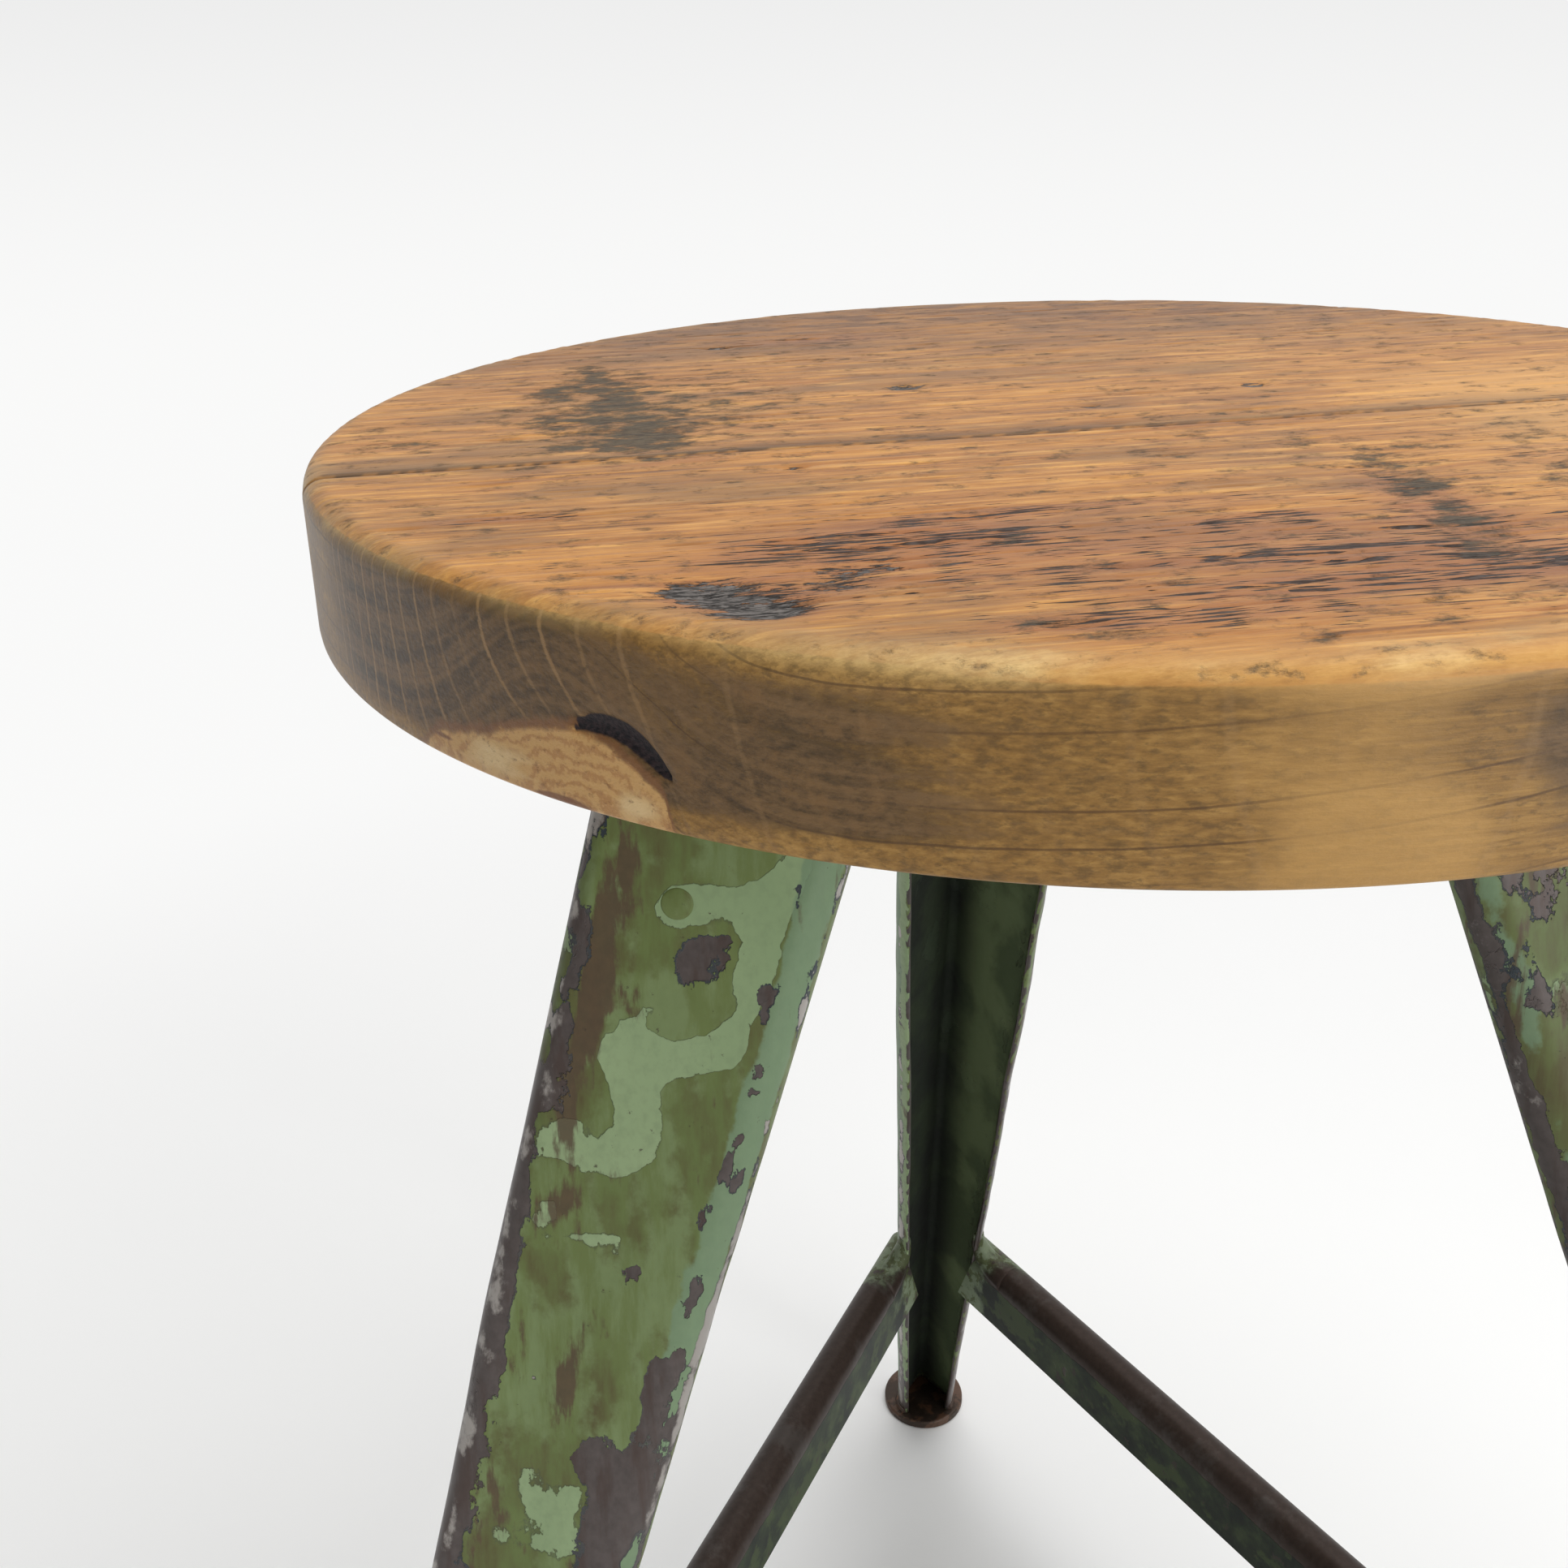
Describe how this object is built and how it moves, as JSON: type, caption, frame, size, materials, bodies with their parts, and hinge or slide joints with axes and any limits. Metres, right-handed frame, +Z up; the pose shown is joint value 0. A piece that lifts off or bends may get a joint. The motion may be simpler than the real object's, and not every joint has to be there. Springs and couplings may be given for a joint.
{
  "type": "tripod stool",
  "caption": "Workshop stool with a round solid-wood seat on splayed legs of folded sheet steel, tied by low stretchers, in worn green paint.",
  "frame": {"origin": "on the floor under the seat's centre", "axes": "+Z up, +Y towards the rear leg, +X to the right seen from the front"},
  "size_m": [0.5006, 0.456, 0.553],
  "materials": {
    "seat_wood_front": "oiled reclaimed board, checked and stained",
    "seat_wood_rear": "oiled reclaimed board, checked and stained",
    "dowel_wood": "plain turned dowel",
    "plate_paint": "old green paint, worn",
    "leg_paint": "layers of old green paint, chipped to bare metal and rust",
    "bracket_paint": "old green paint, worn",
    "stretcher_paint": "green paint worn brown on top by shoes",
    "weld_paint": "painted weld bead",
    "foot_steel": "rusted steel with paint left in patches",
    "screw_steel": "dull steel",
    "rivet_steel": "dull steel"
  },
  "bodies": {
    "root": {"foot_left": "foot_steel", "foot_rear": "foot_steel", "foot_right": "foot_steel", "foot_welds": "foot_steel", "leg_left": "leg_paint", "leg_rear": "leg_paint", "leg_right": "leg_paint", "leg_rivets": "leg_paint", "leg_socket_left": "bracket_paint", "leg_socket_rear": "bracket_paint", "leg_socket_right": "bracket_paint", "seat_board_front": "seat_wood_front", "seat_board_rear": "seat_wood_rear", "seat_dowels": "dowel_wood", "seat_plate": "plate_paint", "seat_screws": "screw_steel", "socket_rivets": "rivet_steel", "stretcher_front": "stretcher_paint", "stretcher_left": "stretcher_paint", "stretcher_right": "stretcher_paint", "stretcher_welds": "weld_paint"}
  },
  "joints": []
}
